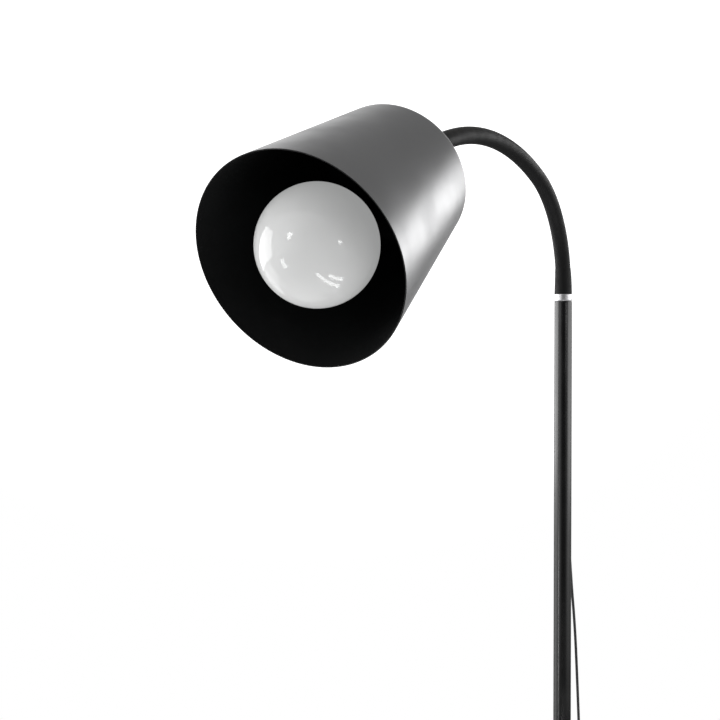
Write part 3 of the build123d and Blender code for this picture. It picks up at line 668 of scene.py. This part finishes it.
def makeNeck(v):
    joints, whole = neckJointLengths(v)
    seams = [0.0] + [(a + b) / 2 for a, b in zip(joints, joints[1:])] + [whole - v["endGap"]]
    for k, (low, high) in enumerate(zip(seams, seams[1:])):
        replaced = ["neck_sleeve", "neck_lead"] if k == 0 else []
        piece = finishPiece(f"neckSleeve{k + 1:02d}", sleeveStretch(v, low, high), sleeveRubber,
                            body=None, replaced=replaced)
        start, _ = neckPlace(v, low + v["hold"])
        end, _ = neckPlace(v, high - v["hold"])
        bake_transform(piece)


makeNeck(neckValues)
print("neck made")


# shade
headPlace = headOn((0, -354.583, 1401.92), (0, -0.89879, -0.43837))
headTurn = headPlace.inverted().to_euler()
headShift = headPlace.inverted().translation * millimetre
shadeValues = {
    "corner": 62.4, "rim": 88.0, "length": 173.0, "wall": 1.0, "bend": 12.5, "hole": 5.2, "steps": 192,
    "rimRound": 0.28, "bendSupport": 1.5, "rimDepth": 0.12,
    "outside": {"colour": ((0.28, 0.28, 0.284), (0.305, 0.305, 0.31)), "rough": (0.37, 0.44), "grain": 2200.0,
                "patch": 7.0, "rings": 1800.0, "ringShare": 0.5, "bump": 0.05, "bumpDepth": 0.00005,
                "scratches": 0.03, "plain": {"Metallic": 1.0}},
    "inside": {"colour": ((0.0046, 0.0048, 0.0050), (0.0066, 0.0070, 0.0072)), "rough": (0.55, 0.7),
               "grain": 1500.0, "patch": 12.0, "bump": 0.2, "bumpDepth": 0.0001,
               "plain": {"Specular IOR Level": 0.10}},
    "edge": {"colour": ((0.0035, 0.0035, 0.0037), (0.0060, 0.0060, 0.0063)), "rough": (0.35, 0.5),
             "grain": 1500.0, "patch": 40.0, "bump": 0.1, "plain": {"Specular IOR Level": 0.4}},
}
for part in ("outside", "inside", "edge"):
    shadeValues[part]["axisPlace"] = (headShift, headTurn)
shadeOutside = makeFinish("shadeOutside", shadeValues["outside"])
shadeInside = makeFinish("shadeInside", shadeValues["inside"])
shadeEdge = makeFinish("shadeEdge", shadeValues["edge"])


def makeShade(v):
    slope = (v["rim"] - v["corner"]) / v["length"]
    skew = sqrt(1 + slope * slope)
    wallAngle = 90 - degrees(asin(slope / skew))
    middle = v["corner"] - v["bend"] * (sin(radians(wallAngle / 2)) / cos(radians(wallAngle / 2)))
    innerRim = v["rim"] - v["wall"] * skew
    flatEnd = middle - v["bendSupport"]
    turn = radians(wallAngle - 90)
    bends = []
    for radius in (v["bend"], v["bend"] - v["wall"]):
        end = Vector((middle + radius * cos(turn), v["bend"] + radius * sin(turn)))
        bends.append((end, end + Vector((-sin(turn), cos(turn))) * v["bendSupport"]))
    bm = turnedMesh([
        (v["hole"], 0), (flatEnd, 0), (middle, 0), ("arc", middle, v["bend"], wallAngle, 14),
        tuple(bends[0][1]), (v["rim"], v["length"], v["rimRound"]), (innerRim, v["length"], v["rimRound"]),
        tuple(bends[1][1]), tuple(bends[1][0]), ("arc", middle, v["bend"], -wallAngle, 14),
        (flatEnd, v["wall"]), (v["hole"], v["wall"]),
    ], v["steps"])
    for face in bm.faces:
        centre = face.calc_center_median()
        radial = Vector((centre.x, centre.y, 0)).normalized()
        outward = face.normal.dot(radial) - face.normal.z
        face.material_index = 0 if outward > 0 else 1
        if centre.z > v["length"] - v["rimDepth"]:
            face.material_index = 2
    bmesh.ops.transform(bm, matrix=headPlace, verts=bm.verts)
    finishes = [shadeOutside, shadeInside, shadeEdge]
    finishPiece("shadeShell", bm, finishes, body="head", replaced=["shade_shell"])


makeShade(shadeValues)
print("shade made")


# lampholder and bulb
holderValues = {
    "radius": 20.0, "start": 22.0, "split": 40.0, "end": 76.0, "grooves": 7, "groovePitch": 2.8,
    "grooveDepth": 0.55, "grooveStart": 47.0, "skirtEnd": 92.5, "skirtRadius": 22.6, "skirtWall": 1.3,
    "hole": 4.75, "wall": 2.0, "steps": 96,
    "black": {"colour": ((0.0040, 0.0040, 0.0042), (0.0065, 0.0065, 0.0067)), "rough": (0.42, 0.55),
              "grain": 1600.0, "patch": 50.0, "bump": 0.2, "bumpDepth": 0.0001},
    "white": {"colour": ((0.70, 0.69, 0.66), (0.76, 0.75, 0.72)), "rough": (0.2, 0.32), "grain": 900.0,
              "patch": 60.0, "bump": 0.08},
    "brass": {"colour": ((0.60, 0.43, 0.17), (0.71, 0.54, 0.25)), "rough": (0.22, 0.36), "grain": 900.0,
              "patch": 60.0, "bump": 0.1, "scratches": 0.2, "plain": {"Metallic": 1.0}},
}
holderBlack = makeFinish("holderBlack", holderValues["black"])
ceramicWhite = makeFinish("ceramicWhite", holderValues["white"])
brassMetal = makeFinish("brassMetal", holderValues["brass"])


def makeHolder(v):
    r, low, split, high = v["radius"], v["start"], v["split"], v["end"]
    hole, wall = v["hole"], v["wall"]
    cap = turnedMesh([
        (hole, low), (r - 6.0, low, 1.0), (r, low + 6.0, 2.0), (r, split, 0.4), (r - wall, split),
        (r - wall, low + 7.0), (r - 7.0, low + wall), (hole, low + wall),
    ], v["steps"], headPlace)
    finishPiece("holderCap", cap, holderBlack, body="head", replaced=["holder_cap"])
    outer, inner = r - 0.4, r - 2.8
    outline = [(inner, split + 0.1), (outer, split + 0.1, 0.4)]
    for k in range(v["grooves"]):
        at = v["grooveStart"] + k * v["groovePitch"]
        outline += [(outer, at, 0.2), (outer - v["grooveDepth"], at + 0.7, 0.2),
                    (outer - v["grooveDepth"], at + 1.2, 0.2), (outer, at + 1.9, 0.2)]
    rim, foot = v["skirtRadius"], high - 2.0
    outline += [(outer, foot, 0.9), (rim, v["skirtEnd"], 0.4), (rim - v["skirtWall"], v["skirtEnd"], 0.4),
                (outer - v["skirtWall"], foot + 0.5), (inner, foot)]
    shell = turnedMesh(outline, v["steps"], headPlace)
    finishPiece("holderShell", shell, holderBlack, body="head", replaced=["holder_shell"])


bulbValues = {
    "centre": 143.0, "radius": 47.5, "neckRadius": 19.0, "neckBend": 24.0, "steps": 128, "collarLow": 79.0,
    "capRadius": 14.6, "lipRadius": 16.2,
    # the opal's emission is painted glow: the bulb is off, and the glow stands in for light scattered through
    # the globe; the base colour is set lower to balance it
    "opal": {"colour": ((0.535, 0.537, 0.535), (0.555, 0.557, 0.555)), "rough": (0.05, 0.075), "grain": 700.0,
             "patch": 10.0, "bump": 0.01, "bumpDepth": 0.00002,
             "plain": {"Subsurface Weight": 1.0, "Subsurface Scale": 0.06,
                       "Subsurface Radius": (1.0, 1.0, 1.0), "IOR": 1.5,
                       "Emission Color": (0.99, 1.0, 0.995, 1.0), "Emission Strength": 0.30}},
    "collar": {"colour": ((0.66, 0.66, 0.65), (0.72, 0.72, 0.71)), "rough": (0.25, 0.36), "grain": 1200.0,
               "patch": 60.0, "bump": 0.1},
    "cap": {"colour": ((0.60, 0.60, 0.60), (0.72, 0.72, 0.71)), "rough": (0.22, 0.34), "grain": 900.0,
            "patch": 60.0, "bump": 0.1, "plain": {"Metallic": 1.0}},
}
bulbOpalPaintedGlow = makeFinish("bulbOpalPaintedGlow", bulbValues["opal"])
bulbCollarWhite = makeFinish("bulbCollarWhite", bulbValues["collar"])
bulbCapMetal = makeFinish("bulbCapMetal", bulbValues["cap"])


def makeBulb(v):
    r, bend, neck = v["radius"], v["neckBend"], v["neckRadius"]
    turnAngle = degrees(acos((neck + bend) / (r + bend)))
    waist = v["centre"] - (r + bend) * sin(radians(turnAngle))
    side = neck + bend
    globe = turnedMesh([
        (0, v["centre"] + r), ("arc", 0, v["centre"], -90 - turnAngle, 44),
        ("arc", side, waist, turnAngle, 10), (0, waist),
    ], v["steps"], headPlace, closed=False)
    finishPiece("bulbGlobe", globe, bulbOpalPaintedGlow, body="head", replaced=["bulb_globe"])
    low = v["collarLow"]
    collar = turnedMesh([
        (0, low), (v["capRadius"], low, 0.3), (v["lipRadius"], low + 3.0, 0.8),
        (neck - 0.2, waist - 4.0, 0.8), (neck, waist - 0.05, 0.2), (0, waist - 0.05),
    ], 96, headPlace, closed=False)
    finishPiece("bulbCollar", collar, bulbCollarWhite, body="head", replaced=["bulb_collar"])


makeHolder(holderValues)
makeBulb(bulbValues)
print("lampholder and bulb made")


# foot switch, plug and tie
def outlineLoop(bm, shape, height, place):
    # ("round", radius) or ("block", length, width, corner): 48 points either way
    if shape[0] == "round":
        return loopRing(bm, place @ Matrix.Translation((0, 0, height)), shape[1], 48)
    _, length, width, corner = shape
    sides = ((-1, -1), (1, -1), (1, 1), (-1, 1))
    corners = [bm.verts.new((x * length / 2, y * width / 2, height)) for x, y in sides]
    for a, b in zip(corners, corners[1:] + corners[:1]):
        bm.edges.new((a, b))
    before = set(bm.verts) - set(corners)
    bmesh.ops.bevel(bm, geom=corners, offset=corner, offset_type="OFFSET", segments=11, profile=0.5,
                    affect="VERTICES", material=-1)
    made = [v for v in bm.verts if v not in before]
    bmesh.ops.transform(bm, matrix=place, verts=made)
    return list({e for v in made for e in v.link_edges})


def stackedMesh(loops, place, closed=True):
    bm = bmesh.new()
    rings = [outlineLoop(bm, shape, height, place) for shape, height in loops]
    if closed:
        bridgeRings(bm, rings + rings[:1])
    else:
        bridgeRings(bm, rings)
        capRing(bm, rings[0])
        capRing(bm, rings[-1])
    bmesh.ops.recalc_face_normals(bm, faces=bm.faces)
    return bm


def blockLoops(size, corner, edges):
    # rounds a block over: (inset, height) pairs
    length, width = size
    loops = []
    for inset, height in edges:
        loops.append((("block", length - 2 * inset, width - 2 * inset, corner - inset), height))
    return loops


switchValues = {
    "centre": (48.0, 280.0), "size": (64.0, 27.0), "corner": 9.0, "split": 9.0, "top": 17.0, "wall": 2.0,
    "footRound": 1.2, "topRound": 3.0, "buttonRadius": 8.0, "buttonRise": 3.5, "buttonClear": 0.3,
    "flangeLow": 12.9, "flangeHigh": 14.3, "flangeRadius": 9.2, "grooves": (5.6, 4.0, 2.4), "entry": 4.0,
    "reliefLength": 18.0, "reliefRadius": 3.3, "reliefEnd": 2.1, "reliefRibs": 4, "reliefDepth": 0.35,
    "shell": {"colour": ((0.0085, 0.0085, 0.0090), (0.0120, 0.0120, 0.0125)), "rough": (0.42, 0.56),
              "grain": 1300.0, "patch": 40.0, "bump": 0.35, "bumpDepth": 0.00016, "dustAndPaintedLight": 0.04},
    "button": {"colour": ((0.016, 0.016, 0.017), (0.024, 0.024, 0.025)), "rough": (0.34, 0.46),
               "grain": 1500.0, "patch": 60.0, "bump": 0.2, "bumpDepth": 0.0001, "dustAndPaintedLight": 0.03},
}
switchShell = makeFinish("switchShell", switchValues["shell"])
switchButton = makeFinish("switchButton", switchValues["button"])


def roundOver(radius, foot, steps, upwards=True):
    # inset and height pairs of a quarter round
    pairs = []
    for k in range(steps + 1):
        angle = radians(90 * k / steps)
        rise = radius * sin(angle) if upwards else -radius * sin(angle)
        pairs.append((radius * (1 - cos(angle)), foot + rise))
    return pairs


def makeSwitchShells(v):
    place = Matrix.Translation((*v["centre"], 0))
    size, corner, split, top, wall = v["size"], v["corner"], v["split"], v["top"], v["wall"]
    foot = roundOver(v["footRound"], v["footRound"], 4, upwards=False)[::-1]
    lower = foot + [(0, split - 0.5), (0.3, split), (wall, split), (wall, 2.0)]
    lowerShell = stackedMesh(blockLoops(size, corner, lower), place, closed=False)
    finishPiece("switchLower", lowerShell, switchShell, replaced=["switch_base"], sharp=35)
    crown = roundOver(v["topRound"], top - v["topRound"], 8)
    upper = blockLoops(size, corner, [(0.3, split + 0.2), (0, split + 0.7)] + crown)
    rim = v["buttonRadius"] + v["buttonClear"]
    for wider, depth in ((1.4, 0), (0.9, 0.5), (0.3, 0.5), (0, 0.8), (0, 2.4)):
        upper.append((("round", rim + wider), top - depth))
    upper += blockLoops(size, corner, [(wall + 2.0, top - 2.4), (wall, top - 4.4), (wall, split + 0.2)])
    finishPiece("switchUpper", stackedMesh(upper, place), switchShell, replaced=["switch_cover"], sharp=35)


def makeButton(v):
    # a cap with a flange under the cover, and round grooves on top for the foot's grip
    r, low, high = v["buttonRadius"], v["flangeLow"], v["flangeHigh"]
    top = v["top"] + v["buttonRise"]
    outline = [(0, high + 0.2), (5.0, high + 0.2), (5.0, low), (v["flangeRadius"], low),
               (v["flangeRadius"], high), (r, high), (r, top, 1.2)]
    for ringAt in v["grooves"]:
        outline += [(ringAt, top, 0.2), (ringAt - 0.35, top - 0.3, 0.1), (ringAt - 0.7, top, 0.2)]
    outline.append((0, top))
    button = turnedMesh(outline, 64, Matrix.Translation((*v["centre"], 0)), closed=False)
    finishPiece("footButton", button, switchButton, body="button", replaced=["foot_button"])


def makeReliefs(v):
    # ribbed sleeves where the cord goes in and out
    x, y = v["centre"]
    for side, name in ((-1, "switchReliefIn"), (1, "switchReliefOut")):
        stations = []
        for k in range(v["reliefRibs"]):
            for share, dip in ((0.0, 0.0), (0.45, 0.0), (0.55, 1.0), (0.9, 1.0)):
                along = (k + share) / v["reliefRibs"]
                radius = v["reliefRadius"] + (v["reliefEnd"] - v["reliefRadius"]) * along
                reach = v["size"][0] / 2 - 0.6 + along * v["reliefLength"]
                place = headOn((x + side * reach, y, v["entry"]), (side, 0, 0), (0, 1, 0))
                stations.append((place, radius - v["reliefDepth"] * dip))
        finishPiece(name, tubeAlong(stations), mouldedRubber, sharp=50)


plugValues = {
    "start": (10.0, 214.5, 6.9), "turn": 152.0, "length": 36.0,
    "sections": ((0.0, 5.2, 5.0), (1.0, 6.0, 5.4), (9.0, 7.6, 7.2), (13.0, 9.6, 8.6), (17.0, 15.0, 10.6),
                 (21.0, 21.0, 12.0), (26.0, 26.4, 12.9), (31.0, 30.6, 13.4), (35.0, 33.6, 13.6),
                 (35.7, 33.3, 13.3), (36.0, 32.6, 12.6)),
    "cornerShare": 0.40, "pinRadius": 2.0, "pinLength": 19.0, "pinSpacing": 18.6, "pinSleeve": 10.0,
    "shell": {"colour": ((0.0085, 0.0085, 0.0090), (0.0120, 0.0120, 0.0125)), "rough": (0.36, 0.5),
              "grain": 1500.0, "patch": 40.0, "bump": 0.25, "bumpDepth": 0.00012, "dustAndPaintedLight": 0.03},
    "pin": {"colour": ((0.66, 0.65, 0.62), (0.76, 0.75, 0.72)), "rough": (0.14, 0.26), "grain": 1200.0,
            "patch": 80.0, "bump": 0.08, "scratches": 0.3, "plain": {"Metallic": 1.0}},
}
plugShell = makeFinish("plugShell", plugValues["shell"])
pinMetal = makeFinish("pinMetal", plugValues["pin"])


def makePlug(v):
    way = Vector((cos(radians(v["turn"])), sin(radians(v["turn"])), 0))
    place = headOn(v["start"], way, (-way.y, way.x, 0))
    share = v["cornerShare"]
    loops = [(("block", wide, thick, min(wide, thick) * share), at) for at, wide, thick in v["sections"]]
    body = stackedMesh(loops, place, closed=False)
    finishPiece("plugBody", body, plugShell, replaced=["plug_body"], sharp=50)
    pins, sleeves = bmesh.new(), bmesh.new()
    r, split = v["pinRadius"], v["pinSleeve"]
    pinOutline = [(0, split - 0.5), (r - 0.1, split - 0.5), (r - 0.1, split), (r, split + 0.1),
                  (r, v["pinLength"], 1.2), (0, v["pinLength"])]
    sleeveOutline = [(0, -0.2), (r - 0.1, -0.2), (r - 0.1, split - 0.5, 0.1), (0, split - 0.5)]
    for side in (-1, 1):
        at = place @ Matrix.Translation((side * v["pinSpacing"] / 2, 0, v["length"]))
        for target, outline in ((pins, pinOutline), (sleeves, sleeveOutline)):
            single = turnedMesh(outline, 40, at, closed=False)
            mesh = bpy.data.meshes.new("pinPart")
            single.to_mesh(mesh)
            single.free()
            target.from_mesh(mesh)
            bpy.data.meshes.remove(mesh)
    finishPiece("plugPins", pins, pinMetal, replaced=["plug_pins"])
    finishPiece("plugPinSleeves", sleeves, plugShell)


tieValues = {"clear": 0.35, "strap": 0.6, "width": 8.0, "corner": 2.2}


def makeTie(v, c):
    inner = c["coilOuter"] - c["coilPitch"] * c["turnsIn"]
    clear = c["diameter"] / millimetre / 2 + v["clear"]
    lowX, highX = c["coilCentre"][0] + inner - 1.0 - clear, c["coilCentre"][0] + c["coilOuter"] + clear
    lowZ, highZ = c["coilHeight"] - clear, c["coilHeight"] + c["coilLayer"] + clear
    place = headOn(((lowX + highX) / 2, c["coilCentre"][1], (lowZ + highZ) / 2), (0, 1, 0))
    wide, tall, s, half = highX - lowX, highZ - lowZ, v["strap"], v["width"] / 2
    outside = ("block", wide + 2 * s, tall + 2 * s, v["corner"])
    inside = ("block", wide, tall, v["corner"] - s)
    band = stackedMesh([(outside, -half), (outside, half), (inside, half), (inside, -half)], place)
    finishPiece("coilTie", band, switchShell, replaced=["coil_tie"], bevel=(0.15, 2))


makeSwitchShells(switchValues)
makeButton(switchValues)
makeReliefs(switchValues)
makePlug(plugValues)
makeTie(tieValues, cordValues)
print("switch, plug and tie made")


# finishes on the frame's own pieces
carriedFinishes = (
    (plainSteel, ["base_plate", "base_rod", "base_fasteners", "pole_plug", "pole_couplers", "pole_insert",
                  "neck_ferrule_lower", "shade_lock_nut", "holder_spacer", "switch_screws", "switch_spring",
                  *(f"neck_link_{k:02d}" for k in range(1, 13))]),
    (brassMetal, ["holder_screws", "holder_screw_shell", "holder_contact", "bulb_contact"]),
    (basePaint, ["neck_ferrule_upper", "shade_washers"]),
    (castIron, ["base_weight"]),
    (cordFinish, ["pole_lead"]),
    (ceramicWhite, ["holder_core"]),
    (holderBlack, ["bulb_insulator"]),
    (bulbCapMetal, ["bulb_cap"]),
    (switchShell, ["switch_mechanism"]),
)
for material, nodes in carriedFinishes:
    for node in nodes:
        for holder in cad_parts[node].material_slots:
            holder.link = "OBJECT"
            holder.material = material
print("frame pieces finished")


# floor, backdrop and light
studioValues = {
    "floorRadius": 4.0, "floorColour": (0.80, 0.80, 0.80), "fadeStart": 0.55, "fadeEnd": 1.5,
    "floorRough": 0.9, "floorShine": 0.1, "floorDrop": 0.0002,
    "backdropWay": (-0.518, 0.829, 0.208), "backdropEdge": (0.85, 1.0), "roomEdge": (-0.25, 0.35),
    "cameraWay": (0.574, -0.819, 0.0), "cameraEdge": (0.55, 0.97), "groundEdge": (-0.10, -0.45),
    "front": 0.80, "rear": 0.30, "backdrop": 1.60, "ground": 0.08, "cameraShade": 0.05,
}


def makeFloor(v):
    bm = bmesh.new()
    bmesh.ops.create_circle(bm, radius=v["floorRadius"], segments=96, cap_ends=True)
    mesh = bpy.data.meshes.new("studioFloor")
    bm.to_mesh(mesh)
    bm.free()
    floor = showObject("studioFloor", mesh)
    floor.location.z = -v["floorDrop"]
    material, tree, shader = newMaterial("floorSweep")
    shader.inputs["Base Color"].default_value = (*v["floorColour"], 1)
    shader.inputs["Roughness"].default_value = v["floorRough"]
    shader.inputs["Specular IOR Level"].default_value = v["floorShine"]
    glow = tree.nodes.new("ShaderNodeEmission")
    camera = tree.nodes.new("ShaderNodeLightPath").outputs["Is Camera Ray"]
    tree.links.new(rangeNode(tree, camera, 0.0, 1.0, v["ground"], 1.0), glow.inputs["Strength"])
    coordinate = tree.nodes.new("ShaderNodeTexCoord")
    length = tree.nodes.new("ShaderNodeVectorMath")
    length.operation = "LENGTH"
    tree.links.new(coordinate.outputs["Object"], length.inputs[0])
    fade = rangeNode(tree, length.outputs["Value"], v["fadeStart"], v["fadeEnd"])
    mix = tree.nodes.new("ShaderNodeMixShader")
    tree.links.new(fade, mix.inputs[0])
    tree.links.new(shader.outputs[0], mix.inputs[1])
    tree.links.new(glow.outputs[0], mix.inputs[2])
    tree.links.new(mix.outputs[0], tree.nodes["Material Output"].inputs["Surface"])
    mesh.materials.append(material)


def makeWorld(v):
    # plain white for the camera; all else sees the white backdrop, a dim room and a dark floor
    world = bpy.data.worlds.new("studioWorld")
    bpy.context.scene.world = world
    world.use_nodes = True
    world.cycles.sampling_method = "NONE"
    tree = world.node_tree
    background = tree.nodes["Background"]
    direction = tree.nodes.new("ShaderNodeTexCoord").outputs["Generated"]
    height = tree.nodes.new("ShaderNodeSeparateXYZ")
    tree.links.new(direction, height.inputs[0])
    facing = {}
    for key in ("backdropWay", "cameraWay"):
        product = tree.nodes.new("ShaderNodeVectorMath")
        product.operation = "DOT_PRODUCT"
        tree.links.new(direction, product.inputs[0])
        product.inputs[1].default_value = v[key]
        facing[key] = product.outputs["Value"]
    level = rangeNode(tree, facing["backdropWay"], *v["roomEdge"], v["front"], v["rear"])
    level = rangeNode(tree, facing["backdropWay"], *v["backdropEdge"], level, v["backdrop"])
    level = rangeNode(tree, facing["cameraWay"], *v["cameraEdge"], level, v["cameraShade"])
    lower = rangeNode(tree, height.outputs["Z"], *v["groundEdge"])
    level = rangeNode(tree, lower, 0.0, 1.0, level, v["ground"])
    camera = tree.nodes.new("ShaderNodeLightPath").outputs["Is Camera Ray"]
    tree.links.new(mathNode(tree, "MAXIMUM", level, camera), background.inputs["Strength"])
    background.inputs["Color"].default_value = (1, 1, 1, 1)


bulbSpot = (0.0, -0.483, 1.339)
softLights = {
    "bandSoftbox": {"place": (0.50, 1.72, 1.69), "aim": (0.0, -0.43, 1.37),
                    "size": (1.01, 0.68), "glow": 3.6},
    "rightSoftbox": {"place": (1.36, 0.74, 1.35), "aim": (0.0, 0.0, 1.35),
                     "size": (1.75, 0.90), "glow": 1.75},
    "leftSoftbox": {"place": (-1.25, -0.40, 1.38), "aim": (0.0, -0.40, 1.38),
                    "size": (1.70, 0.84), "glow": 3.6},
    "leftPanel": {"place": (-1.25, -0.30, 0.62), "aim": (0.0, -0.30, 0.72),
                  "size": (1.20, 0.55), "glow": 1.1},
    "lowLong": {"place": (0.395, -0.62, 0.35), "aim": bulbSpot,
                "long": (0.06, 1, 0), "size": (0.95, 0.12), "glow": 6.0},
    "lowShort": {"place": (0.66, -0.50, 0.35), "aim": bulbSpot,
                 "long": (0.2, 1, 0), "size": (0.55, 0.13), "glow": 6.5},
    "smallLeft": {"place": (-0.63, -2.31, 1.80), "aim": bulbSpot, "size": (0.31, 0.36), "glow": 8.0},
    "smallRight": {"place": (1.91, -1.07, 1.44), "aim": bulbSpot, "size": (0.24, 0.20), "glow": 8.0},
    "smallLow": {"place": (-0.89, -1.58, 0.59), "aim": bulbSpot, "size": (0.24, 0.42), "glow": 5.5},
}


def makeLights(lights):
    for name, v in lights.items():
        data = bpy.data.lights.new(name, "AREA")
        data.shape = "RECTANGLE"
        data.size, data.size_y = v["size"]
        data.energy = v["glow"] * pi * data.size * data.size_y
        lamp = showObject(name, data)
        way = Vector(v["place"]) - Vector(v["aim"])
        lamp.matrix_world = headOn(v["place"], way, v.get("long", (-way.y, way.x, 0)))
        lamp.visible_camera = False


makeFloor(studioValues)
makeWorld(studioValues)
makeLights(softLights)
bpy.context.scene.view_settings.view_transform = "Standard"
print("studio set")
